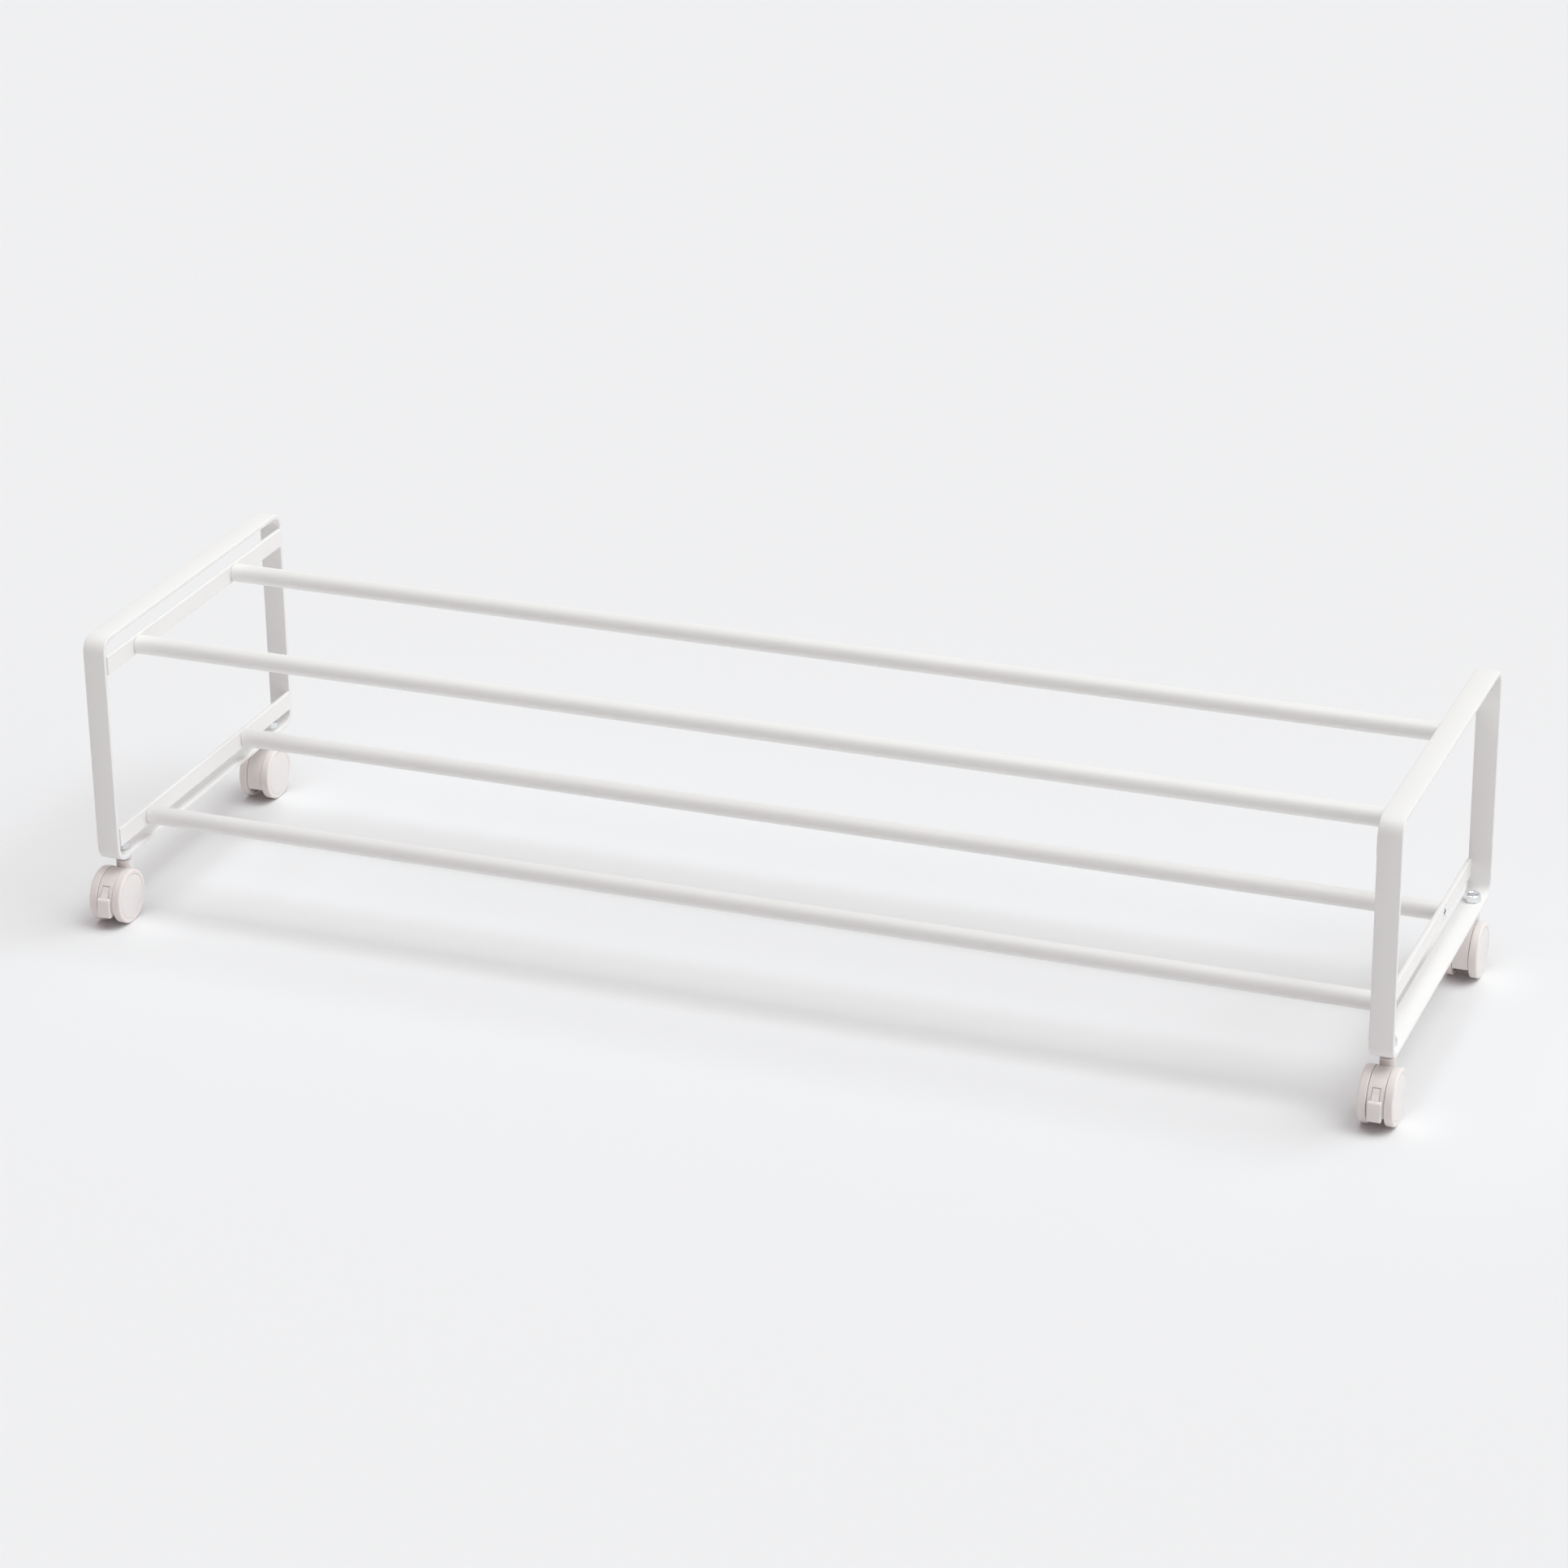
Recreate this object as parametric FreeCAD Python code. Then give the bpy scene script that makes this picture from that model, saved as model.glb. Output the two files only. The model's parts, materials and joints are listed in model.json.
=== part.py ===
import FreeCAD, Part
import math
import os

# Rolling shoe rack: two flat-bar end frames, four tubular rails and four twin-wheel swivel casters.
# Millimetres, Z up, floor at Z = 0, front of the rack towards -Y, rails along X.
# The origin lies on the floor below the middle of the overall box, with all casters trailing to the front.

os.makedirs("parts", exist_ok=True)
Vector = FreeCAD.Vector
X_AXIS = Vector(1, 0, 0)
Z_AXIS = Vector(0, 0, 1)

# End frames, each a closed loop bent from flat bar
rack_length = 915.0
frame_depth = 268.0
frame_height = 166.0
strip_width = 16.0
strip_thickness = 3.2
bend_radius = 11.0
strip_edge_round = 0.6

# Cross bars welded on edge between the uprights, a little proud of the inner edge of the end frame
bar_height = 13.4
bar_thickness = 3.0
bar_lip = 0.8
bar_edge_round = 0.8
upper_bar_drop = 19.3
lower_bar_rise = 19.0

# Rails between the cross bars, centred on them
rail_diameter = 13.0
rail_wall = 1.0
rail_end_round = 0.8
front_rail_setback = 46.0
rear_rail_setback = 77.3

# Plugs in the rail ends and the countersunk screws that draw the rails to the bars
plug_length = 18.0
screw_diameter = 6.0
screw_length = 16.0
screw_head_diameter = 11.0
screw_head_angle = 90.0
screw_head_land = 0.3
screw_recess_length = 5.6
screw_recess_width = 1.2
screw_recess_depth = 1.8

# Caster stems with their hexagon collar, the nuts above and the clips below
stem_diameter = 6.0
stem_inset = 20.5
stem_depth = 18.6
stem_tip = 1.0
stem_recess = 0.8
stem_chamfer = 0.7
collar_across_flats = 11.0
collar_height = 4.2
nut_across_flats = 10.0
nut_height = 5.0
hexagon_chamfer = 0.5
stem_clip_diameter = 8.2
stem_clip_thickness = 0.8
stem_groove_depth = 0.5
stem_clip_opening = 3.0

# Wheels, their caps and the axle
wheel_diameter = 38.0
wheel_width = 5.9
wheel_headroom = 7.8
wheel_rim_round = 1.3
wheel_inner_round = 0.3
rim_thickness = 2.6
wheel_hub_diameter = 12.4
wheel_groove_depth = 2.3
wheel_rib_count = 12
wheel_rib_thickness = 1.2
cap_border = 3.4
cap_thickness = 1.2
cap_edge_round = 0.3
axle_diameter = 4.0
axle_end_gap = 0.5
axle_clip_diameter = 7.2
axle_clip_thickness = 0.6
axle_clip_room = 1.7

# Caster hood between the two wheels, with the neck that turns on the stem
hood_width = 11.1
hood_step = 0.6
hood_edge_round = 0.4
hood_floor_gap = 11.0
hood_wall = 2.4
hood_axle_wall = 2.6
neck_step = 0.2
neck_gap = 0.6
neck_edge_round = 0.6
caster_trail = 12.5

# Brake lever of the front casters: a tongue in the hood's slot that slopes out to a wider pad below
lever_pivot_depth = 3.8
lever_pivot_above = 5.2
lever_pin_diameter = 2.2
lever_boss_diameter = 4.6
tongue_width = 4.9
tongue_thickness = 3.2
tongue_top = 11.4
tongue_pad_overlap = 4.5
tongue_slope_top = 8.0
pad_width = 9.3
pad_top = 4.6
pad_height = 14.0
pad_proud = 2.2
pad_top_round = 2.0
pad_edge_round = 0.8
lever_lift_room = 0.5

# Clearances
running_gap = 0.3
bearing_clearance = 0.05
seat_clearance = 0.02
bolt_hole_clearance = 0.2
screw_head_gap = 0.12
cap_ring_gap = 0.25
clip_side_gap = 0.4
tool_reach = 1.0

# Sizes that follow from the ones above
wheel_radius = wheel_diameter / 2
hood_radius = wheel_radius - hood_step
hood_half = hood_width / 2
hood_bottom = hood_floor_gap - wheel_radius
pad_reach = hood_radius + running_gap + pad_proud
frame_bottom = wheel_diameter + wheel_headroom
frame_top = frame_bottom + frame_height
frame_middle_y = (caster_trail + pad_reach - stem_inset) / 2
frame_front_y = frame_middle_y - frame_depth / 2
frame_rear_y = frame_middle_y + frame_depth / 2
rail_end_x = rack_length / 2 - strip_width - bar_lip
bar_face_x = rail_end_x + bar_thickness
rail_radius = rail_diameter / 2
screw_radius = screw_diameter / 2
screw_head_radius = screw_head_diameter / 2
screw_cone_depth = (screw_head_radius - screw_radius) / math.tan(math.radians(screw_head_angle / 2))
screw_head_depth = screw_head_land + screw_cone_depth
stem_radius = stem_diameter / 2
axle_radius = axle_diameter / 2
stem_x = rack_length / 2 - strip_width / 2
collar_bottom = frame_bottom - collar_height
stem_bottom = collar_bottom - stem_depth
stem_clip_bottom = stem_bottom + stem_tip
stem_clip_top = stem_clip_bottom + stem_clip_thickness
groove_radius = stem_radius - stem_groove_depth
wheel_inner_x = hood_half + running_gap
cap_radius = wheel_radius - cap_border
cap_floor = wheel_width - cap_thickness
clip_floor = cap_floor - axle_clip_room
lever_pivot_ahead = math.sqrt((hood_radius - lever_pivot_depth) ** 2 - lever_pivot_above ** 2)

bar_heights = {"upper": frame_top - upper_bar_drop, "lower": frame_bottom + lower_bar_rise}
rail_places = {"front": frame_front_y + front_rail_setback, "rear": frame_rear_y - rear_rail_setback}
sides = {"left": -1, "right": 1}
stem_places = {"front": frame_front_y + stem_inset, "rear": frame_rear_y - stem_inset}


def box(x_low, x_high, y_low, y_high, z_low, z_high):
    return Part.makeBox(x_high - x_low, y_high - y_low, z_high - z_low, Vector(x_low, y_low, z_low))


def rod_x(radius, x_low, x_high, y=0.0, z=0.0):
    return Part.makeCylinder(radius, x_high - x_low, Vector(x_low, y, z), X_AXIS)


def rod_z(radius, z_low, z_high, x=0.0, y=0.0):
    return Part.makeCylinder(radius, z_high - z_low, Vector(x, y, z_low), Z_AXIS)


def turned(shape):
    return shape.rotated(Vector(0, 0, 0), Z_AXIS, 180)


def edges_along(shape, direction):
    straight = [edge for edge in shape.Edges if edge.Curve.TypeId == "Part::GeomLine"]
    return [edge for edge in straight if abs(edge.tangentAt(edge.FirstParameter).dot(direction)) > 0.999]


def edges_at_x(shape, x_place):
    flat = [edge for edge in shape.Edges if edge.BoundBox.XLength < 1e-6]
    return [edge for edge in flat if abs(edge.BoundBox.XMin - x_place) < 1e-6]


def edges_at_y(shape, y_place):
    flat = [edge for edge in shape.Edges if edge.BoundBox.YLength < 1e-6]
    return [edge for edge in flat if abs(edge.BoundBox.YMin - y_place) < 1e-6]


def edges_at_z(shape, z_place):
    flat = [edge for edge in shape.Edges if edge.BoundBox.ZLength < 1e-6]
    return [edge for edge in flat if abs(edge.BoundBox.ZMin - z_place) < 1e-6]


def hexagon(across_flats, z_low, z_high):
    corner = across_flats / math.sqrt(3)
    angles = [math.pi * k / 3 for k in range(7)]
    points = [Vector(corner * math.cos(angle), corner * math.sin(angle), z_low) for angle in angles]
    prism = Part.Face(Part.makePolygon(points)).extrude(Vector(0, 0, z_high - z_low))
    blank = rod_z(corner, z_low, z_high)
    blank = blank.makeChamfer(hexagon_chamfer, edges_at_z(blank, z_low) + edges_at_z(blank, z_high))
    return prism.common(blank)


def end_frame(side):
    x_middle = side * stem_x
    x_low = x_middle - strip_width / 2
    x_high = x_middle + strip_width / 2
    outer = box(x_low, x_high, frame_front_y, frame_rear_y, frame_bottom, frame_top)
    outer = outer.makeFillet(bend_radius, edges_along(outer, X_AXIS))
    strip_top = frame_bottom + strip_thickness
    inner = box(x_low, x_high, frame_front_y + strip_thickness, frame_rear_y - strip_thickness,
                strip_top, frame_top - strip_thickness)
    inner = inner.makeFillet(bend_radius - strip_thickness, edges_along(inner, X_AXIS))
    loop = outer.cut(inner)
    loop = loop.makeFillet(strip_edge_round, edges_at_x(loop, x_low) + edges_at_x(loop, x_high))
    for stem_y in stem_places.values():
        hole = rod_z(stem_radius + bolt_hole_clearance, frame_bottom - tool_reach, strip_top + tool_reach,
                     x_middle, stem_y)
        loop = loop.cut(hole)
    return loop


def screw_head(gap):
    # flat of the head at X = 0, cone towards -X, with a gap all round for its seat in the bar
    land = rod_x(screw_head_radius + gap, -screw_head_land, 0)
    cone = Part.makeCone(screw_radius + gap, screw_head_radius + gap, screw_cone_depth,
                         Vector(-screw_head_depth, 0, 0), X_AXIS)
    return land.fuse(cone)


def cross_bar(side, z_middle):
    x_low, x_high = sorted([side * rail_end_x, side * bar_face_x])
    bar = box(x_low, x_high, frame_front_y + strip_thickness, frame_rear_y - strip_thickness,
              z_middle - bar_height / 2, z_middle + bar_height / 2)
    bar = bar.makeFillet(bar_edge_round, edges_along(bar, Vector(0, 1, 0)))
    hole_radius = screw_radius + bolt_hole_clearance
    seat = screw_head(screw_head_gap) if side > 0 else turned(screw_head(screw_head_gap))
    for rail_y in rail_places.values():
        bar = bar.cut(rod_x(hole_radius, x_low - tool_reach, x_high + tool_reach, rail_y, z_middle))
        bar = bar.cut(seat.translated(Vector(side * bar_face_x, rail_y, z_middle)))
    return bar


def rail(y_place, z_place):
    tube = rod_x(rail_radius, -rail_end_x, rail_end_x, y_place, z_place)
    tube = tube.makeFillet(rail_end_round, edges_at_x(tube, -rail_end_x) + edges_at_x(tube, rail_end_x))
    bore = rod_x(rail_radius - rail_wall, -rail_end_x, rail_end_x, y_place, z_place)
    return tube.cut(bore)


def rail_plug():
    # outer end at X = 0, reaching into the rail towards -X
    plug = rod_x(rail_radius - rail_wall - seat_clearance, -plug_length, 0)
    return plug.cut(rod_x(screw_radius + bearing_clearance, -plug_length, 0))


def rail_screw():
    # flat of the head at X = 0, shank towards -X
    long_half = screw_recess_length / 2
    thin_half = screw_recess_width / 2
    slot = box(-screw_recess_depth, 0, -long_half, long_half, -thin_half, thin_half)
    cross = slot.fuse(slot.rotated(Vector(0, 0, 0), X_AXIS, 90))
    shank = rod_x(screw_radius, -screw_length, -screw_head_depth)
    return screw_head(0).fuse(shank).removeSplitter().cut(cross)


def caster_stem():
    stem = rod_z(stem_radius, stem_bottom, frame_bottom + strip_thickness + nut_height - stem_recess)
    stem = stem.makeChamfer(stem_chamfer, edges_at_z(stem, stem.BoundBox.ZMax))
    groove = rod_z(stem_radius + tool_reach, stem_clip_bottom, stem_clip_top)
    groove = groove.cut(rod_z(groove_radius, stem_clip_bottom, stem_clip_top))
    return stem.cut(groove).fuse(hexagon(collar_across_flats, collar_bottom, frame_bottom))


def caster_nut():
    nut_bottom = frame_bottom + strip_thickness
    nut = hexagon(nut_across_flats, nut_bottom, nut_bottom + nut_height)
    return nut.cut(rod_z(stem_radius + bearing_clearance, nut_bottom, nut_bottom + nut_height))


def stem_clip():
    clip_radius = stem_clip_diameter / 2
    clip = rod_z(clip_radius, stem_clip_bottom, stem_clip_top)
    clip = clip.cut(rod_z(groove_radius + seat_clearance, stem_clip_bottom, stem_clip_top))
    half = stem_clip_opening / 2
    return clip.cut(box(-half, half, 0, clip_radius + tool_reach, stem_clip_bottom, stem_clip_top))


# The pieces of a caster are drawn about the middle of its axle and then moved to their place.

def caster_hood(with_lever):
    neck_top = collar_bottom - neck_gap - wheel_radius
    pocket_top = stem_clip_top + running_gap - wheel_radius
    hood = rod_x(hood_radius, -hood_half, hood_half)
    hood = hood.makeFillet(hood_edge_round, edges_at_x(hood, -hood_half) + edges_at_x(hood, hood_half))
    below = -hood_radius - tool_reach
    hood = hood.cut(box(below, -below, below, -below, below, hood_bottom))
    neck = rod_z(hood_half - neck_step, 0, neck_top, 0, caster_trail)
    neck = neck.makeFillet(neck_edge_round, edges_at_z(neck, neck_top))
    hood = hood.fuse(neck).removeSplitter()
    hood = hood.cut(rod_z(stem_radius + bearing_clearance, below, neck_top + tool_reach, 0, caster_trail))
    hood = hood.cut(rod_z(stem_clip_diameter / 2 + clip_side_gap, below, pocket_top, 0, caster_trail))
    hood = hood.cut(rod_x(axle_radius + seat_clearance, below, -below))
    slot_half = tongue_width / 2 + running_gap
    slot_back = -axle_radius - hood_axle_wall
    if with_lever:
        slot_top = tongue_top + lever_lift_room
        hood = hood.cut(box(-slot_half, slot_half, below, slot_back, below, slot_top))
        pin_hole = rod_x(lever_pin_diameter / 2 + seat_clearance, below, -below,
                         -lever_pivot_ahead, lever_pivot_above)
        return hood.cut(pin_hole)
    hollow = rod_x(hood_radius - hood_wall, -slot_half, slot_half)
    hollow = hollow.common(box(-slot_half, slot_half, below, slot_back, below, -below))
    return hood.cut(hollow)


def caster_axle():
    half = wheel_inner_x + cap_floor - axle_end_gap
    return rod_x(axle_radius, -half, half)


def axle_clip():
    x_low = wheel_inner_x + clip_floor + running_gap
    ring = rod_x(axle_clip_diameter / 2, x_low, x_low + axle_clip_thickness)
    return ring.cut(rod_x(axle_radius + seat_clearance, x_low, x_low + axle_clip_thickness))


def caster_wheel():
    # inner face towards the hood, outer face towards +X
    wheel = rod_x(wheel_radius, 0, wheel_width)
    wheel = wheel.makeFillet(wheel_rim_round, edges_at_x(wheel, wheel_width))
    wheel = wheel.makeFillet(wheel_inner_round, edges_at_x(wheel, 0))
    wheel = wheel.cut(rod_x(cap_radius + cap_ring_gap, cap_floor, wheel_width + tool_reach))
    wheel = wheel.cut(rod_x(axle_clip_diameter / 2 + clip_side_gap, clip_floor, wheel_width))
    groove_outer = wheel_radius - rim_thickness
    hub_radius = wheel_hub_diameter / 2
    groove = rod_x(groove_outer, -tool_reach, wheel_groove_depth)
    groove = groove.cut(rod_x(hub_radius, -tool_reach, wheel_groove_depth))
    rib_half = wheel_rib_thickness / 2
    for k in range(wheel_rib_count):
        rib = box(-tool_reach, wheel_groove_depth, 0, wheel_radius, -rib_half, rib_half)
        groove = groove.cut(rib.rotated(Vector(0, 0, 0), X_AXIS, 360.0 * k / wheel_rib_count))
    wheel = wheel.cut(groove)
    wheel = wheel.cut(rod_x(axle_radius + bearing_clearance, -tool_reach, wheel_width))
    return wheel.translated(Vector(wheel_inner_x, 0, 0))


def wheel_cap():
    x_low = wheel_inner_x + cap_floor
    x_high = wheel_inner_x + wheel_width
    cap = rod_x(cap_radius, x_low, x_high)
    return cap.makeFillet(cap_edge_round, edges_at_x(cap, x_high))


def brake_lever():
    tongue_half = tongue_width / 2
    pad_half = pad_width / 2
    tongue = rod_x(hood_radius, -tongue_half, tongue_half)
    tongue = tongue.cut(rod_x(hood_radius - tongue_thickness, -tongue_half, tongue_half))
    tongue_low = pad_top - tongue_pad_overlap
    tongue = tongue.common(box(-tongue_half, tongue_half, -pad_reach, 0, tongue_low, tongue_top))
    slope_y = -math.sqrt(hood_radius ** 2 - tongue_slope_top ** 2)
    slope_low = pad_top - pad_top_round
    slope_points = [(slope_y, tongue_low), (slope_y, tongue_slope_top), (-pad_reach, slope_low),
                    (-pad_reach, tongue_low), (slope_y, tongue_low)]
    outline = [Vector(-tongue_half, y, z) for y, z in slope_points]
    slope = Part.Face(Part.makePolygon(outline)).extrude(Vector(tongue_width, 0, 0))
    boss = rod_x(lever_boss_diameter / 2, -tongue_half, tongue_half, -lever_pivot_ahead, lever_pivot_above)
    pad = box(-pad_half, pad_half, -pad_reach, -hood_radius / 2, pad_top - pad_height, pad_top)
    front_edges = edges_at_y(pad, -pad_reach)
    pad = pad.makeFillet(pad_top_round, [edge for edge in front_edges if edge.BoundBox.ZMin > pad_top - 1e-6])
    pad = pad.makeFillet(pad_edge_round, edges_at_y(pad, -pad_reach))
    pad = pad.cut(rod_x(hood_radius + running_gap, -pad_half, pad_half))
    lever = pad.fuse([tongue, slope, boss]).removeSplitter()
    pin_hole = rod_x(lever_pin_diameter / 2 + bearing_clearance, -pad_half, pad_half,
                     -lever_pivot_ahead, lever_pivot_above)
    return lever.cut(pin_hole)


def lever_pin():
    half = hood_half - neck_step
    return rod_x(lever_pin_diameter / 2, -half, half, -lever_pivot_ahead, lever_pivot_above)


def write(shape, node):
    shape.exportStep("parts/" + node + ".step")


for side_name, side in sides.items():
    write(end_frame(side), side_name + "_end_frame")
    for level, bar_z in bar_heights.items():
        write(cross_bar(side, bar_z), side_name + "_" + level + "_bar")

plugs = []
screws = []
for level, bar_z in bar_heights.items():
    for place, rail_y in rail_places.items():
        write(rail(rail_y, bar_z), level + "_" + place + "_rail")
        for side in sides.values():
            plug = rail_plug() if side > 0 else turned(rail_plug())
            screw = rail_screw() if side > 0 else turned(rail_screw())
            plugs.append(plug.translated(Vector(side * rail_end_x, rail_y, bar_z)))
            screws.append(screw.translated(Vector(side * bar_face_x, rail_y, bar_z)))
write(Part.makeCompound(plugs), "rail_plugs")
write(Part.makeCompound(screws), "rail_screws")

stems = []
nuts = []
clips = []
for place, stem_y in stem_places.items():
    has_lever = place == "front"
    for side_name, side in sides.items():
        corner = place + "_" + side_name
        above = Vector(side * stem_x, stem_y, 0)
        stems.append(caster_stem().translated(above))
        nuts.append(caster_nut().translated(above))
        clips.append(stem_clip().translated(above))
        axle = Vector(side * stem_x, stem_y - caster_trail, wheel_radius)
        write(caster_hood(has_lever).translated(axle), corner + "_hood")
        write(caster_axle().translated(axle), corner + "_axle")
        clip_pair = [axle_clip().translated(axle), turned(axle_clip()).translated(axle)]
        write(Part.makeCompound(clip_pair), corner + "_axle_clips")
        write(caster_wheel().translated(axle), corner + "_wheel_right")
        write(turned(caster_wheel()).translated(axle), corner + "_wheel_left")
        write(wheel_cap().translated(axle), corner + "_cap_right")
        write(turned(wheel_cap()).translated(axle), corner + "_cap_left")
        if has_lever:
            write(brake_lever().translated(axle), corner + "_lever")
            write(lever_pin().translated(axle), corner + "_lever_pin")
write(Part.makeCompound(stems), "caster_stems")
write(Part.makeCompound(nuts), "caster_nuts")
write(Part.makeCompound(clips), "stem_clips")
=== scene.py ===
import json
import math
import bmesh
import bpy
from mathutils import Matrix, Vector


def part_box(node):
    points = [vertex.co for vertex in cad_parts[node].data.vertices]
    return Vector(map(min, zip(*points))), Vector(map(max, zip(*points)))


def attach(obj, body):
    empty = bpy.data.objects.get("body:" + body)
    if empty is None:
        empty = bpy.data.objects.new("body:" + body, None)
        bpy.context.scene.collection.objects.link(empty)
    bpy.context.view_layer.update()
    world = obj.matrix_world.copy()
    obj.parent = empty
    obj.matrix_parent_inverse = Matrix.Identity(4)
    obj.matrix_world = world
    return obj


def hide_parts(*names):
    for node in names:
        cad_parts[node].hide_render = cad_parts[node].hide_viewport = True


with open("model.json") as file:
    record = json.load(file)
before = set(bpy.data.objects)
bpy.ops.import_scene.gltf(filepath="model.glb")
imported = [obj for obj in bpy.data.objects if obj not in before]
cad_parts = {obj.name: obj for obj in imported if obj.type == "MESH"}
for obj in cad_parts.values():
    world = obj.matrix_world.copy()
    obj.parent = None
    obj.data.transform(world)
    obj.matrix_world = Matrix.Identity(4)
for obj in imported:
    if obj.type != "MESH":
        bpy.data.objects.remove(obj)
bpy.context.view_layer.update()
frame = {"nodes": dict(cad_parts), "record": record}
scene = bpy.context.scene
scene.view_settings.view_transform = "Standard"
print("frame loaded,", len(frame["nodes"]), "nodes")

corners = ["front_left", "front_right", "rear_left", "rear_right"]
sides = ["left", "right"]


# mesh helpers, all in metres

meshRules = {"weld": 1e-7, "sharpAngle": 35.0}


def makePiece(name, verts, faces, sharpAngle=meshRules["sharpAngle"]):
    mesh = bpy.data.meshes.new(name)
    mesh.from_pydata(verts, [], faces)
    bm = bmesh.new()
    bm.from_mesh(mesh)
    bmesh.ops.remove_doubles(bm, verts=bm.verts, dist=meshRules["weld"])
    bmesh.ops.recalc_face_normals(bm, faces=bm.faces)
    bm.to_mesh(mesh)
    bm.free()
    mesh.shade_smooth()
    mesh.set_sharp_from_angle(angle=math.radians(sharpAngle))
    piece = bpy.data.objects.new(name, mesh)
    scene.collection.objects.link(piece)
    return piece


def middleOf(low, high):
    return Vector(((low.x + high.x) / 2, (low.y + high.y) / 2, (low.z + high.z) / 2))


def innerFace(low, high, side):
    # middle of the face that looks at the hood, and the sign of the way out from there
    outward = 1 if side == "right" else -1
    middle = middleOf(low, high)
    middle.x = low.x if side == "right" else high.x
    return middle, outward


def stepAngles(steps):
    return [2 * math.pi * k / steps for k in range(steps)]


def arcPoints(midX, midY, radius, startDeg, endDeg, steps):
    points = []
    for k in range(steps + 1):
        angle = math.radians(startDeg + (endDeg - startDeg) * k / steps)
        points.append((midX + radius * math.cos(angle), midY + radius * math.sin(angle)))
    return points


def roundedSection(width, height, edge, steps):
    u, v = width / 2 - edge, height / 2 - edge
    section = arcPoints(u, v, edge, 0, 90, steps)
    section += arcPoints(-u, v, edge, 90, 180, steps)
    section += arcPoints(-u, -v, edge, 180, 270, steps)
    section += arcPoints(u, -v, edge, 270, 360, steps)
    return section


def joinRings(ringCount, count, closed=True):
    # faces between rings of count points each, the last ring joined to the first
    faces = []
    for k in range(ringCount):
        ring, nextRing = k * count, (k + 1) % ringCount * count
        for i in range(count if closed else count - 1):
            j = (i + 1) % count
            faces.append((ring + i, ring + j, nextRing + j, nextRing + i))
    return faces


def turnProfile(profile, centre, steps, outward=1, closed=True):
    # profile of (x, r) turned about the X axis through centre; an open one starts and ends on the axis
    verts = []
    for angle in stepAngles(steps):
        for x, r in profile:
            y, z = centre.y + r * math.cos(angle), centre.z + r * math.sin(angle)
            verts.append((centre.x + outward * x, y, z))
    return verts, joinRings(steps, len(profile), closed)


# shared surface effects

def newGroup(name, inputs, outputs):
    group = bpy.data.node_groups.new(name, "ShaderNodeTree")
    for label, value in inputs.items():
        socket = group.interface.new_socket(name=label, in_out="INPUT", socket_type="NodeSocketFloat")
        socket.default_value = value
    for label in outputs:
        group.interface.new_socket(name=label, in_out="OUTPUT", socket_type="NodeSocketFloat")
    return group, group.nodes.new("NodeGroupInput"), group.nodes.new("NodeGroupOutput")


def setOrLink(tree, socket, value):
    # a number or a colour is set, and another node's output is linked
    if isinstance(value, (int, float)):
        socket.default_value = value
    elif isinstance(value, tuple):
        socket.default_value = (*value, 1.0)
    else:
        tree.links.new(value, socket)


def addMath(tree, operation, first, second):
    node = tree.nodes.new("ShaderNodeMath")
    node.operation = operation
    setOrLink(tree, node.inputs[0], first)
    setOrLink(tree, node.inputs[1], second)
    return node.outputs[0]


def addNoise(tree, place, scale, detail, rough=0.5):
    node = tree.nodes.new("ShaderNodeTexNoise")
    node.inputs["Detail"].default_value = detail
    node.inputs["Roughness"].default_value = rough
    tree.links.new(place, node.inputs["Vector"])
    setOrLink(tree, node.inputs["Scale"], scale)
    return node.outputs["Fac"]


def addRamp(tree, value, span, low=0.0, high=1.0):
    node = tree.nodes.new("ShaderNodeMapRange")
    node.interpolation_type = "SMOOTHSTEP"
    tree.links.new(value, node.inputs["Value"])
    for label, number in (("From Min", span[0]), ("From Max", span[1]), ("To Min", low), ("To Max", high)):
        node.inputs[label].default_value = number
    return node.outputs["Result"]


def addPlace(tree):
    return tree.nodes.new("ShaderNodeTexCoord").outputs["Object"]


grainForm = {
    "inputs": {"Wave": 700.0, "Fine": 4.0, "FineShare": 0.3},
    "waveDetail": 1.5, "fineDetail": 2.0,
    "toneScale": 16.0, "toneDetail": 3.0, "toneRough": 0.55, "toneSpan": (0.3, 0.7),
}


def makeSkinGrain():
    # sprayed or moulded skin: long waves, short waves and slow changes of tone
    form = grainForm
    group, ins, outs = newGroup("skinGrain", form["inputs"], ["Height", "Tone"])
    place = addPlace(group)
    wave = addNoise(group, place, ins.outputs["Wave"], form["waveDetail"])
    fineScale = addMath(group, "MULTIPLY", ins.outputs["Wave"], ins.outputs["Fine"])
    fine = addNoise(group, place, fineScale, form["fineDetail"])
    short = addMath(group, "MULTIPLY", fine, ins.outputs["FineShare"])
    group.links.new(addMath(group, "ADD", wave, short), outs.inputs["Height"])
    slow = addNoise(group, place, form["toneScale"], form["toneDetail"], form["toneRough"])
    group.links.new(addRamp(group, slow, form["toneSpan"]), outs.inputs["Tone"])
    return group


handlingForm = {
    "inputs": {"Patch": 22.0, "Mark": 160.0},
    "patchDetail": 4.0, "patchRough": 0.6, "patchSpan": (0.45, 0.7),
    "markDetail": 5.0, "markRough": 0.7, "markSpan": (0.52, 0.72),
}


def makeHandling():
    # faint rubbed patches and short hairline marks
    form = handlingForm
    group, ins, outs = newGroup("handling", form["inputs"], ["Rub"])
    place = addPlace(group)
    patchNoise = addNoise(group, place, ins.outputs["Patch"], form["patchDetail"], form["patchRough"])
    markNoise = addNoise(group, place, ins.outputs["Mark"], form["markDetail"], form["markRough"])
    patch = addRamp(group, patchNoise, form["patchSpan"])
    mark = addRamp(group, markNoise, form["markSpan"])
    group.links.new(addMath(group, "MULTIPLY", patch, mark), outs.inputs["Rub"])
    return group


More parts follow.
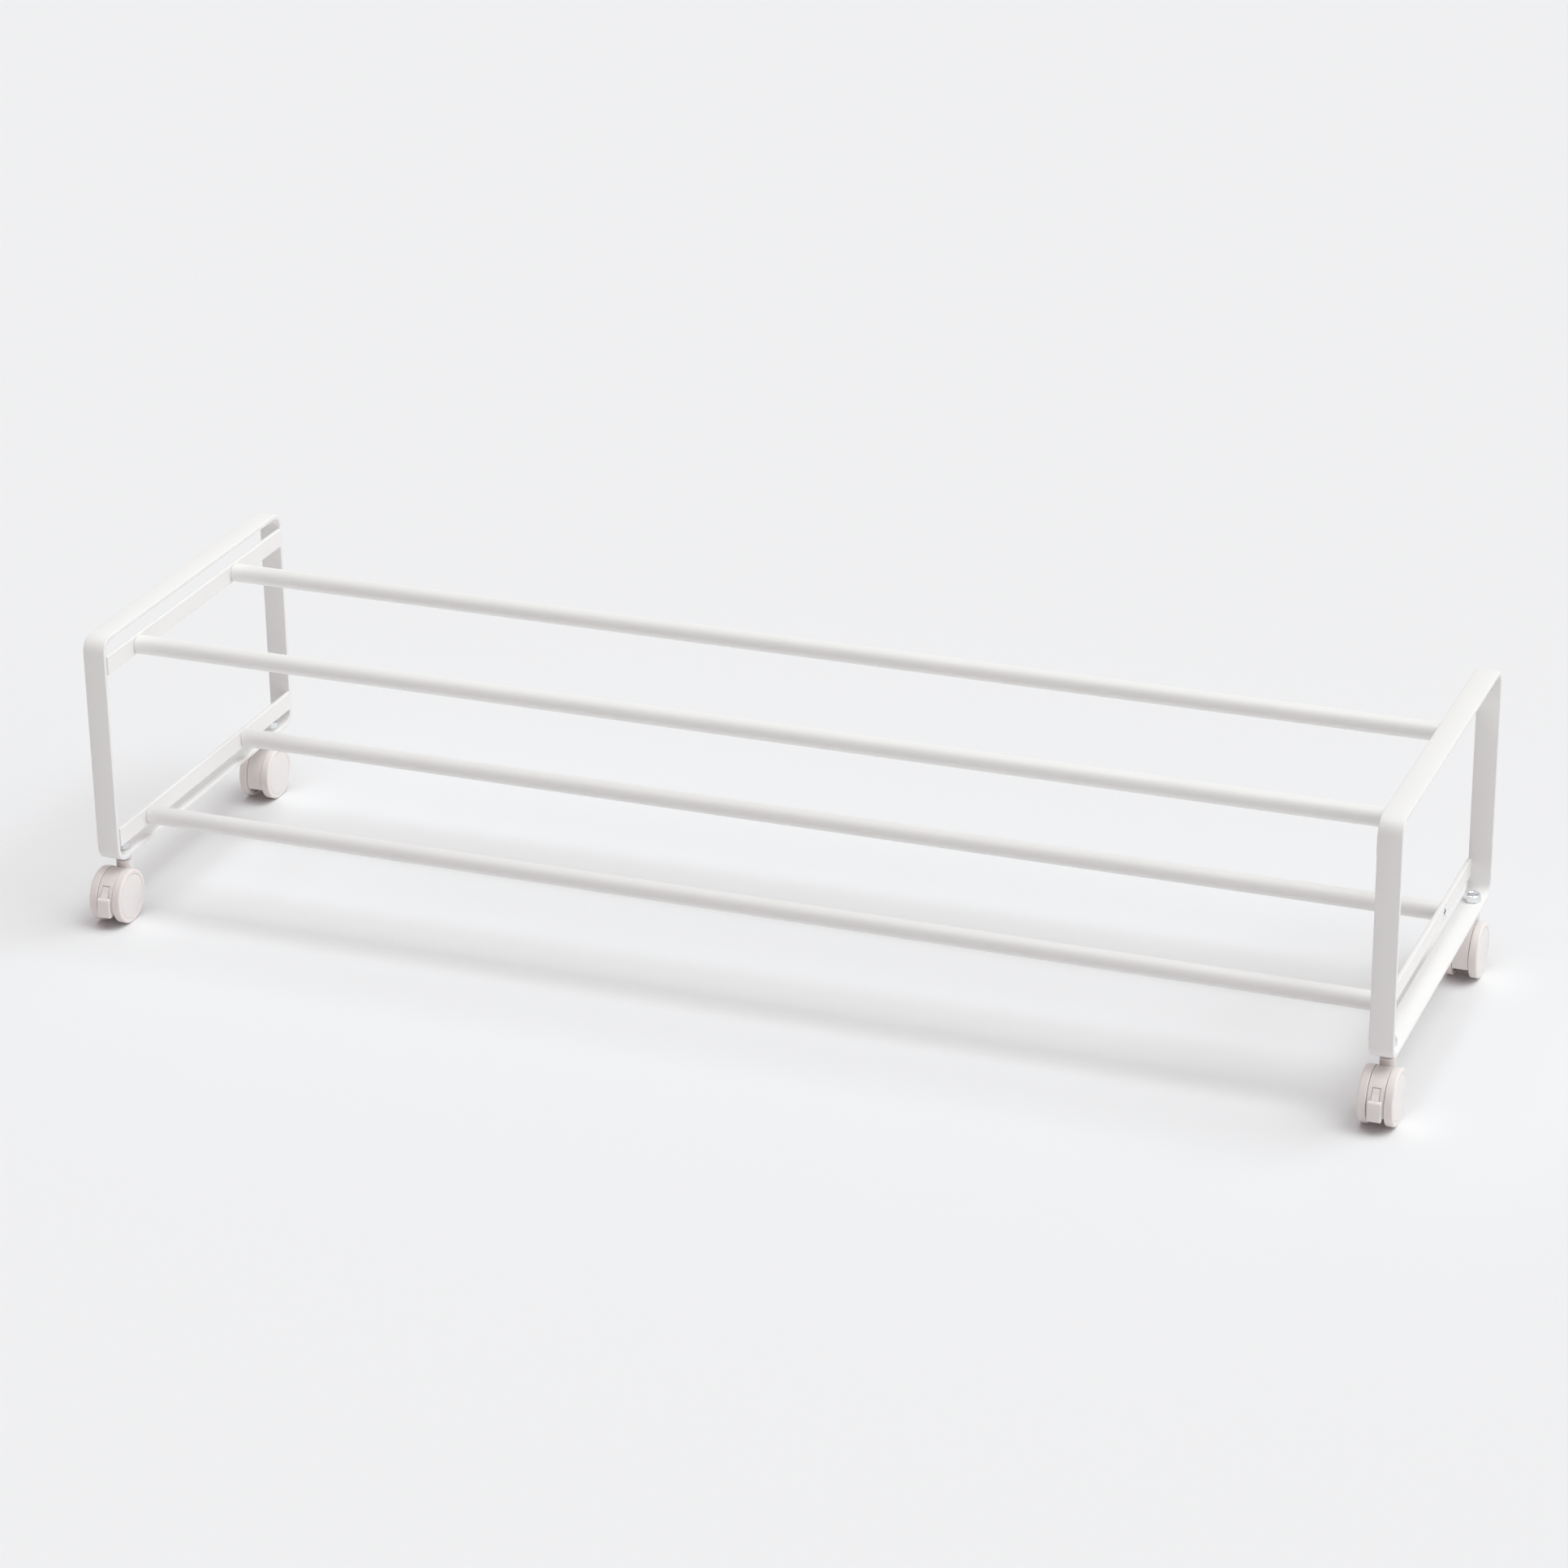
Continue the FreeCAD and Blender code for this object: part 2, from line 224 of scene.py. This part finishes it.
dustForm = {
    "inputs": {"Grain": 420.0}, "upSpan": (0.2, 0.95),
    "grainDetail": 6.0, "grainRough": 0.75, "grainSpan": (0.42, 0.75),
}


def makeSettledDust():
    # a thin film of dust that gathers where a face looks up
    form = dustForm
    group, ins, outs = newGroup("settledDust", form["inputs"], ["Film"])
    geometry = group.nodes.new("ShaderNodeNewGeometry")
    split = group.nodes.new("ShaderNodeSeparateXYZ")
    group.links.new(geometry.outputs["Normal"], split.inputs[0])
    upward = addRamp(group, split.outputs["Z"], form["upSpan"])
    place = addPlace(group)
    grainNoise = addNoise(group, place, ins.outputs["Grain"], form["grainDetail"], form["grainRough"])
    grain = addRamp(group, grainNoise, form["grainSpan"])
    group.links.new(addMath(group, "MULTIPLY", upward, grain), outs.inputs["Film"])
    return group


bloomForm = {
    "inputs": {"Crystal": 900.0, "Line": 2600.0},
    "cloudScale": 240.0, "cloudDetail": 3.0, "lineDetail": 3.0,
}


def makeZincBloom():
    # crystal patches of the plating and the fine lines left by forming
    form = bloomForm
    group, ins, outs = newGroup("zincBloom", form["inputs"], ["Bloom", "Lines"])
    place = addPlace(group)
    cells = group.nodes.new("ShaderNodeTexVoronoi")
    group.links.new(place, cells.inputs["Vector"])
    group.links.new(ins.outputs["Crystal"], cells.inputs["Scale"])
    toValue = group.nodes.new("ShaderNodeRGBToBW")
    group.links.new(cells.outputs["Color"], toValue.inputs[0])
    cloud = addNoise(group, place, form["cloudScale"], form["cloudDetail"])
    group.links.new(addMath(group, "MULTIPLY", toValue.outputs[0], cloud), outs.inputs["Bloom"])
    group.links.new(addNoise(group, place, ins.outputs["Line"], form["lineDetail"]), outs.inputs["Lines"])
    return group


skinGrain = makeSkinGrain()
handling = makeHandling()
settledDust = makeSettledDust()
zincBloom = makeZincBloom()
print("surface effects ready")


# materials

def useGroup(tree, group, values):
    node = tree.nodes.new("ShaderNodeGroup")
    node.node_tree = group
    for label, number in values.items():
        node.inputs[label].default_value = number
    return node


def mixColour(tree, factor, first, second):
    node = tree.nodes.new("ShaderNodeMix")
    node.data_type = "RGBA"
    tree.links.new(factor, node.inputs["Factor"])
    setOrLink(tree, node.inputs["A"], first)
    setOrLink(tree, node.inputs["B"], second)
    return node.outputs["Result"]


def newSurface(name):
    material = bpy.data.materials.new(name)
    material.use_nodes = True
    return material, material.node_tree.nodes["Principled BSDF"]


def addBump(tree, shader, height, strength, distance):
    bump = tree.nodes.new("ShaderNodeBump")
    bump.inputs["Strength"].default_value = strength
    bump.inputs["Distance"].default_value = distance
    tree.links.new(height, bump.inputs["Height"])
    tree.links.new(bump.outputs["Normal"], shader.inputs["Normal"])


def skinMaterial(name, look):
    material, shader = newSurface(name)
    tree = material.node_tree
    skin = useGroup(tree, skinGrain, look["skin"])
    rub = useGroup(tree, handling, look["handling"])
    dust = useGroup(tree, settledDust, look["dust"])
    tone = mixColour(tree, skin.outputs["Tone"], look["colour"], look["tone"])
    film = addMath(tree, "MULTIPLY", dust.outputs["Film"], look["dustShare"])
    tree.links.new(mixColour(tree, film, tone, look["dustColour"]), shader.inputs["Base Color"])
    base = addRamp(tree, skin.outputs["Tone"], (0.0, 1.0), *look["roughness"])
    worn = addMath(tree, "MULTIPLY", rub.outputs["Rub"], look["rubGloss"])
    tree.links.new(addMath(tree, "SUBTRACT", base, worn), shader.inputs["Roughness"])
    shader.inputs["Specular IOR Level"].default_value = look["specular"]
    shader.inputs["Subsurface Weight"].default_value = look["translucent"]
    shader.inputs["Subsurface Radius"].default_value = look["glowReach"]
    shader.inputs["Subsurface Scale"].default_value = look["glowDepth"]
    addBump(tree, shader, skin.outputs["Height"], look["bump"], look["bumpDepth"])
    return material


powderLook = {
    "colour": (0.898, 0.890, 0.878), "tone": (0.886, 0.879, 0.868),
    "roughness": (0.42, 0.5), "specular": 0.5,
    "skin": {"Wave": 620.0, "Fine": 4.5, "FineShare": 0.25}, "bump": 0.28, "bumpDepth": 0.0002,
    "handling": {"Patch": 9.0, "Mark": 130.0}, "rubGloss": 0.1,
    "dust": {"Grain": 520.0}, "dustShare": 0.06, "dustColour": (0.72, 0.70, 0.67),
    "translucent": 0.0, "glowReach": (1.0, 0.55, 0.4), "glowDepth": 0.002,
}
hoodLook = {
    "colour": (0.872, 0.826, 0.802), "tone": (0.858, 0.813, 0.79),
    "roughness": (0.4, 0.48), "specular": 0.45,
    "skin": {"Wave": 2400.0, "Fine": 3.0, "FineShare": 0.5}, "bump": 0.3, "bumpDepth": 0.00008,
    "handling": {"Patch": 60.0, "Mark": 420.0}, "rubGloss": 0.12,
    "dust": {"Grain": 900.0}, "dustShare": 0.08, "dustColour": (0.66, 0.63, 0.6),
    "translucent": 0.2, "glowReach": (1.0, 0.55, 0.4), "glowDepth": 0.002,  # light below the skin
}
wheelLook = dict(hoodLook, colour=(0.876, 0.825, 0.8), tone=(0.856, 0.807, 0.784), roughness=(0.45, 0.56),
                 handling={"Patch": 70.0, "Mark": 520.0}, rubGloss=0.06)
capLook = dict(hoodLook, colour=(0.868, 0.825, 0.813), tone=(0.858, 0.816, 0.804), roughness=(0.36, 0.44))
leverLook = dict(hoodLook, colour=(0.885, 0.842, 0.833), tone=(0.873, 0.832, 0.823), roughness=(0.36, 0.45))
plugLook = dict(hoodLook, colour=(0.62, 0.61, 0.6), tone=(0.58, 0.57, 0.56))

whitePowder = skinMaterial("whitePowderCoat", powderLook)
hoodPlastic = skinMaterial("casterHoodPlastic", hoodLook)
wheelPlastic = skinMaterial("casterWheelPlastic", wheelLook)
capPlastic = skinMaterial("wheelCapPlastic", capLook)
leverPlastic = skinMaterial("brakeLeverPlastic", leverLook)
plugPlastic = skinMaterial("railPlugPlastic", plugLook)

zincLook = {
    "bright": (0.86, 0.88, 0.9), "dull": (0.66, 0.69, 0.72),
    "roughness": (0.06, 0.18), "bloomSpan": (0.1, 0.6),
    "plating": {"Crystal": 1100.0, "Line": 3200.0}, "bump": 0.05, "bumpDepth": 0.00005,
}


def zincMaterial(name, look):
    material, shader = newSurface(name)
    tree = material.node_tree
    plating = useGroup(tree, zincBloom, look["plating"])
    bloom = plating.outputs["Bloom"]
    tree.links.new(mixColour(tree, bloom, look["bright"], look["dull"]), shader.inputs["Base Color"])
    tree.links.new(addRamp(tree, bloom, look["bloomSpan"], *look["roughness"]), shader.inputs["Roughness"])
    shader.inputs["Metallic"].default_value = 1.0
    addBump(tree, shader, plating.outputs["Lines"], look["bump"], look["bumpDepth"])
    return material


zincPlate = zincMaterial("zincPlate", zincLook)
slotMaterials = {
    "white_steel": whitePowder, "zinc_steel": zincPlate, "caster_plastic": hoodPlastic,
    "wheel_plastic": wheelPlastic, "cap_plastic": capPlastic, "lever_plastic": leverPlastic,
    "plug_plastic": plugPlastic,
}
for part in frame["record"]["subparts"]:
    data = frame["nodes"][part["node"]].data
    data.materials.clear()
    data.materials.append(slotMaterials[part["material_slot"]])
print("materials ready")


def fitPiece(piece, body, slotName, node):
    # finish and body of a piece, and the node that it stands for
    piece.data.materials.append(slotMaterials[slotName])
    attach(piece, body)
    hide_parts(node)


# end frames: flat bar bent round four corners

frameStrip = {"thickness": 0.0032, "bend": 0.011, "edge": 0.0006, "edgeSteps": 4, "bendSteps": 20}


def bendPath(low, high, bend, thickness, steps):
    # points of the bar's middle line with their outward directions, in Y and Z
    radius = bend - thickness / 2
    path = []
    bends = ((high.y, high.z, 0), (low.y, high.z, 90), (low.y, low.z, 180), (high.y, low.z, 270))
    for y, z, start in bends:
        towardY = -1 if y == high.y else 1
        towardZ = -1 if z == high.z else 1
        centreY, centreZ = y + towardY * bend, z + towardZ * bend
        for k in range(steps + 1):
            angle = math.radians(start + 90 * k / steps)
            outward = (math.cos(angle), math.sin(angle))
            path.append((centreY + radius * outward[0], centreZ + radius * outward[1], outward))
    return path


def makeEndFrame(side):
    node = side + "_end_frame"
    low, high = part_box(node)
    strip = frameStrip
    section = roundedSection(high.x - low.x, strip["thickness"], strip["edge"], strip["edgeSteps"])
    path = bendPath(low, high, strip["bend"], strip["thickness"], strip["bendSteps"])
    middle = (low.x + high.x) / 2
    verts = []
    for y, z, outward in path:
        verts += [(middle + u, y + v * outward[0], z + v * outward[1]) for u, v in section]
    piece = makePiece(side + "EndFrame", verts, joinRings(len(path), len(section)))
    fitPiece(piece, "rack", "white_steel", node)


for side in sides:
    makeEndFrame(side)
print("end frames made")


# tubular rails

railTube = {"wall": 0.001, "endRound": 0.0008, "roundSteps": 6, "steps": 112}


def makeRail(level, place):
    node = level + "_" + place + "_rail"
    low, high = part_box(node)
    tube = railTube
    radius = (high.z - low.z) / 2
    end = (high.x - low.x) / 2
    edge = tube["endRound"]
    profile = arcPoints(end - edge, radius - edge, edge, 90, 0, tube["roundSteps"])
    profile += [(end, radius - tube["wall"]), (-end, radius - tube["wall"])]
    profile += arcPoints(-end + edge, radius - edge, edge, 180, 90, tube["roundSteps"])
    verts, faces = turnProfile(profile, middleOf(low, high), tube["steps"])
    piece = makePiece(level + place.capitalize() + "Rail", verts, faces)
    fitPiece(piece, "rack", "white_steel", node)


for level in ("upper", "lower"):
    for place in ("front", "rear"):
        makeRail(level, place)
print("rails made")


# wheels and their caps

wheelForm = {
    "rimRound": 0.0013, "innerRound": 0.0005, "rim": 0.0026, "hub": 0.0062, "groove": 0.0023,
    "capBorder": 0.0034, "capDepth": 0.0012, "lipRound": 0.00025, "lipSteps": 4,
    "ringGap": 0.00025, "ringDepth": 0.00035, "ringFit": 0.00003,  # shallow ring round the cap
    "bore": 0.00205, "clipRadius": 0.004, "clipDepth": 0.0017,  # hole for the axle, room for its clip
    "steps": 144, "roundSteps": 8,
}
# the reaches are shares of the hub's and the rim's radius, so that the ribs sink into both
ribForm = {"count": 12, "width": 0.0012, "hubReach": 0.99, "rimReach": 1.005}
capForm = {"edge": 0.0003, "steps": 144, "roundSteps": 4}


def wheelProfile(width, radius):
    # from the bore over the hub, the groove, the rim and the seat of the cap, back to the bore
    form = wheelForm
    bore, hub, groove, rim = form["bore"], form["hub"], form["groove"], radius - form["rim"]
    seat = radius - form["capBorder"] + form["ringFit"]
    recess = radius - form["capBorder"] + form["ringGap"]
    ring = width - form["ringDepth"]
    floor = width - form["capDepth"]
    clip, clipFloor = form["clipRadius"], floor - form["clipDepth"]
    inner, outer, lip = form["innerRound"], form["rimRound"], form["lipRound"]
    profile = [(0, bore), (0, hub), (groove, hub), (groove, rim), (0, rim)]
    profile += arcPoints(inner, radius - inner, inner, 180, 90, form["roundSteps"])
    profile += arcPoints(width - outer, radius - outer, outer, 90, 0, form["roundSteps"])
    profile += arcPoints(width - lip, recess + lip, lip, 0, -90, form["lipSteps"])
    profile += [(ring, recess), (ring, seat), (floor, seat)]
    profile += [(floor, clip), (clipFloor, clip), (clipFloor, bore)]
    return profile


def addRibs(verts, faces, centre, outward, radius):
    # flat spokes in the groove between hub and rim
    half = ribForm["width"] / 2
    hub, rim = wheelForm["hub"], radius - wheelForm["rim"]
    reaches = (hub * ribForm["hubReach"], rim * ribForm["rimReach"])
    quads = ((0, 1, 3, 2), (4, 6, 7, 5), (0, 4, 5, 1), (2, 3, 7, 6), (0, 2, 6, 4), (1, 5, 7, 3))
    for angle in stepAngles(ribForm["count"]):
        along, across = (math.cos(angle), math.sin(angle)), (-math.sin(angle), math.cos(angle))
        start = len(verts)
        for x in (0.0, wheelForm["groove"]):
            for reach in reaches:
                for offset in (-half, half):
                    y = reach * along[0] + offset * across[0]
                    z = reach * along[1] + offset * across[1]
                    verts.append((centre.x + outward * x, centre.y + y, centre.z + z))
        faces += [tuple(start + i for i in quad) for quad in quads]


def makeWheel(corner, side):
    node = body = corner + "_wheel_" + side
    low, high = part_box(node)
    width, radius = high.x - low.x, (high.z - low.z) / 2
    centre, outward = innerFace(low, high, side)
    verts, faces = turnProfile(wheelProfile(width, radius), centre, wheelForm["steps"], outward)
    addRibs(verts, faces, centre, outward, radius)
    piece = makePiece(node + "_turned", verts, faces)
    fitPiece(piece, body, "wheel_plastic", node)


def makeCap(corner, side):
    node, body = corner + "_cap_" + side, corner + "_wheel_" + side
    low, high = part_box(node)
    form = capForm
    centre, outward = innerFace(low, high, side)
    thick, radius, edge = high.x - low.x, (high.z - low.z) / 2, form["edge"]
    profile = [(0, 0), (0, radius)]
    profile += arcPoints(thick - edge, radius - edge, edge, 90, 0, form["roundSteps"])
    profile += [(thick, 0)]
    verts, faces = turnProfile(profile, centre, form["steps"], outward, False)
    piece = makePiece(node + "_turned", verts, faces)
    fitPiece(piece, body, "cap_plastic", node)


for corner in corners:
    for side in sides:
        makeWheel(corner, side)
        makeCap(corner, side)
print("wheels made")


# nuts and threaded stems of the casters

nutForm = {
    "flats": 0.010, "bore": 0.00305, "sink": 0.0007, "flatShare": 0.94, "slant": 30.0, "steps": 72,
    "sharpAngle": 22.0,
}
stemForm = {
    "radius": 0.003, "collarFlats": 0.011, "collarHeight": 0.0042, "flatShare": 0.94, "slant": 30.0,
    "tipChamfer": 0.0007, "pitch": 0.001, "threadDepth": 0.0003, "rings": 8,  # rings in each pitch
    "grooveLow": 0.001, "grooveHigh": 0.0018, "groove": 0.0025,  # seat of the clip below the collar
    "steps": 48, "sharpAngle": 22.0,
}


def hexReach(flats, angle):
    # distance from the middle to the side of a hexagon that has a corner on the X axis
    return flats / 2 / math.cos(angle % (math.pi / 3) - math.pi / 6)


def hexProfile(flats, low, high, flatShare, slant, angle):
    # outer line of a hexagon whose corners are turned off at both ends
    reach = hexReach(flats, angle)
    flat = flats / 2 * flatShare
    drop = (reach - flat) * math.tan(math.radians(slant))
    return [(flat, low), (reach, low + drop), (reach, high - drop), (flat, high)]


def stackRings(verts, faces, lines, x, y, closed):
    # upright outlines about the axis at x and y, each a list of (angle, radius, height)
    rings = list(zip(*lines))
    start, steps = len(verts), len(lines)
    for ring in rings:
        verts += [(x + r * math.cos(a), y + r * math.sin(a), z) for a, r, z in ring]
    for i in range(len(rings) if closed else len(rings) - 1):
        low, high = start + i * steps, start + (i + 1) % len(rings) * steps
        for k in range(steps):
            n = (k + 1) % steps
            faces.append((low + k, low + n, high + n, high + k))


def hexPlaces(low, high, flats):
    # the four axes of hexagons that fill the box of a node
    corner, half = flats / math.sqrt(3), flats / 2
    return [(x, y) for x in (low.x + corner, high.x - corner) for y in (low.y + half, high.y - half)]


def makeNuts():
    low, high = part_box("caster_nuts")
    form = nutForm
    mouth = form["bore"] + form["sink"]
    verts, faces = [], []
    for x, y in hexPlaces(low, high, form["flats"]):
        lines = []
        for angle in stepAngles(form["steps"]):
            line = hexProfile(form["flats"], low.z, high.z, form["flatShare"], form["slant"], angle)
            line += [(mouth, high.z), (form["bore"], high.z - form["sink"])]
            line += [(form["bore"], low.z + form["sink"]), (mouth, low.z)]
            lines.append([(angle, r, z) for r, z in line])
        stackRings(verts, faces, lines, x, y, True)
    piece = makePiece("casterNuts", verts, faces, form["sharpAngle"])
    fitPiece(piece, "rack", "zinc_steel", "caster_nuts")


def threadRadius(height, angle, tip):
    # ridge and groove of the thread, with a chamfer below the tip
    form = stemForm
    turn = (height / form["pitch"] - angle / (2 * math.pi)) % 1.0
    radius = form["radius"] - form["threadDepth"] * abs(2 * turn - 1)
    return min(radius, form["radius"] - form["tipChamfer"] + tip - height)


def makeStems():
    low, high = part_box("caster_stems")
    form = stemForm
    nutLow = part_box("caster_nuts")[0].z
    collarTop = nutLow - frameStrip["thickness"]
    collarLow = collarTop - form["collarHeight"]
    grooveLow, grooveHigh = low.z + form["grooveLow"], low.z + form["grooveHigh"]
    radius, groove = form["radius"], form["groove"]
    shank = [(0.0, low.z), (radius, low.z), (radius, grooveLow), (groove, grooveLow)]
    shank += [(groove, grooveHigh), (radius, grooveHigh), (radius, collarLow)]
    flats, flatShare, slant = form["collarFlats"], form["flatShare"], form["slant"]
    count = round((high.z - collarTop) / form["pitch"] * form["rings"])
    heights = [collarTop + (high.z - collarTop) * i / count for i in range(count + 1)]
    verts, faces = [], []
    for x, y in hexPlaces(low, high, flats):
        lines = []
        for angle in stepAngles(form["steps"]):
            line = shank + hexProfile(flats, collarLow, collarTop, flatShare, slant, angle)
            line += [(threadRadius(z, angle, high.z), z) for z in heights]
            line.append((0.0, high.z))
            lines.append([(angle, r, z) for r, z in line])
        stackRings(verts, faces, lines, x, y, False)
    piece = makePiece("casterStems", verts, faces, form["sharpAngle"])
    fitPiece(piece, "rack", "zinc_steel", "caster_stems")


makeNuts()
makeStems()
print("nuts and stems made")


# stage, light and camera

paperFloor = {"size": 40.0, "colour": (0.858, 0.858, 0.868), "roughness": 0.9, "specular": 0.1}
paleRoom = {
    "roomColour": (1.0, 0.74, 0.76), "roomGlow": 0.2,
    "rightColour": (0.98, 1.0, 0.995), "rightGlow": 1.0, "rightFocus": 2.0,
    "viewColour": (0.876, 0.876, 0.887), "ceilingColour": (0.55, 0.55, 0.56), "ceilingSpan": (0.5, 0.75),
}
lampColour = (0.93, 1.0, 0.995)
studioLamps = [
    {"name": "softKey", "strength": 0.88, "spread": 36.0, "direction": (0.47, 0.2, 1.0)},
    {"name": "overheadBox", "strength": 1.56, "spread": 60.0, "direction": (0.1, 0.0, 1.0)},
]
photoCamera = {
    "place": (1.05909, -2.72149, 1.39524), "turn": (66.3797, 0.6592, 20.9522), "lens": 108.341,
    "sensor": 36.0, "farClip": 100.0,
}


def makeFloor():
    half = paperFloor["size"] / 2
    mesh = bpy.data.meshes.new("paperFloor")
    outline = [(-half, -half, 0), (half, -half, 0), (half, half, 0), (-half, half, 0)]
    mesh.from_pydata(outline, [], [(0, 1, 2, 3)])
    floor = bpy.data.objects.new("paperFloor", mesh)
    scene.collection.objects.link(floor)
    material, shader = newSurface("studioPaper")
    shader.inputs["Base Color"].default_value = (*paperFloor["colour"], 1.0)
    shader.inputs["Roughness"].default_value = paperFloor["roughness"]
    shader.inputs["Specular IOR Level"].default_value = paperFloor["specular"]
    mesh.materials.append(material)


def addBackground(tree, colour, strength):
    node = tree.nodes.new("ShaderNodeBackground")
    setOrLink(tree, node.inputs["Color"], colour)
    setOrLink(tree, node.inputs["Strength"], strength)
    return node.outputs[0]


def makeWorld():
    room = paleRoom
    world = bpy.data.worlds.new("paleRoom")
    scene.world = world
    world.use_nodes = True
    tree = world.node_tree
    tree.nodes.clear()
    look = tree.nodes.new("ShaderNodeTexCoord").outputs["Generated"]
    split = tree.nodes.new("ShaderNodeSeparateXYZ")
    tree.links.new(look, split.inputs[0])
    # even warm light from all round, and soft light from the right
    facing = addMath(tree, "MAXIMUM", split.outputs["X"], 0.0)
    right = addMath(tree, "MULTIPLY", addMath(tree, "POWER", facing, room["rightFocus"]), room["rightGlow"])
    light = tree.nodes.new("ShaderNodeAddShader")
    tree.links.new(addBackground(tree, room["roomColour"], room["roomGlow"]), light.inputs[0])
    tree.links.new(addBackground(tree, room["rightColour"], right), light.inputs[1])
    # what the camera and the reflections see: pale walls, greyer overhead
    overhead = addRamp(tree, split.outputs["Z"], room["ceilingSpan"])
    seen = addBackground(tree, mixColour(tree, overhead, room["viewColour"], room["ceilingColour"]), 1.0)
    path = tree.nodes.new("ShaderNodeLightPath")
    direct = addMath(tree, "MAXIMUM", path.outputs["Is Camera Ray"], path.outputs["Is Glossy Ray"])
    direct = addMath(tree, "MAXIMUM", direct, path.outputs["Is Transmission Ray"])
    mix = tree.nodes.new("ShaderNodeMixShader")
    tree.links.new(direct, mix.inputs[0])
    tree.links.new(light.outputs[0], mix.inputs[1])
    tree.links.new(seen, mix.inputs[2])
    output = tree.nodes.new("ShaderNodeOutputWorld")
    tree.links.new(mix.outputs[0], output.inputs["Surface"])


def makeLamp(name, strength, spread, direction):
    lamp = bpy.data.lights.new(name, "SUN")
    lamp.energy = strength
    lamp.color = lampColour
    lamp.angle = math.radians(spread)
    holder = bpy.data.objects.new(name, lamp)
    holder.rotation_mode = "QUATERNION"
    holder.rotation_quaternion = Vector(direction).to_track_quat("Z", "Y")
    scene.collection.objects.link(holder)


def makeCamera():
    data = bpy.data.cameras.new("photoCamera")
    data.sensor_width = photoCamera["sensor"]
    data.lens = photoCamera["lens"]
    data.clip_end = photoCamera["farClip"]
    camera = bpy.data.objects.new("photoCamera", data)
    camera.location = photoCamera["place"]
    camera.rotation_euler = [math.radians(turn) for turn in photoCamera["turn"]]
    scene.collection.objects.link(camera)
    scene.camera = camera


makeFloor()
makeWorld()
for lamp in studioLamps:
    makeLamp(**lamp)
makeCamera()
print("stage, light and camera ready")
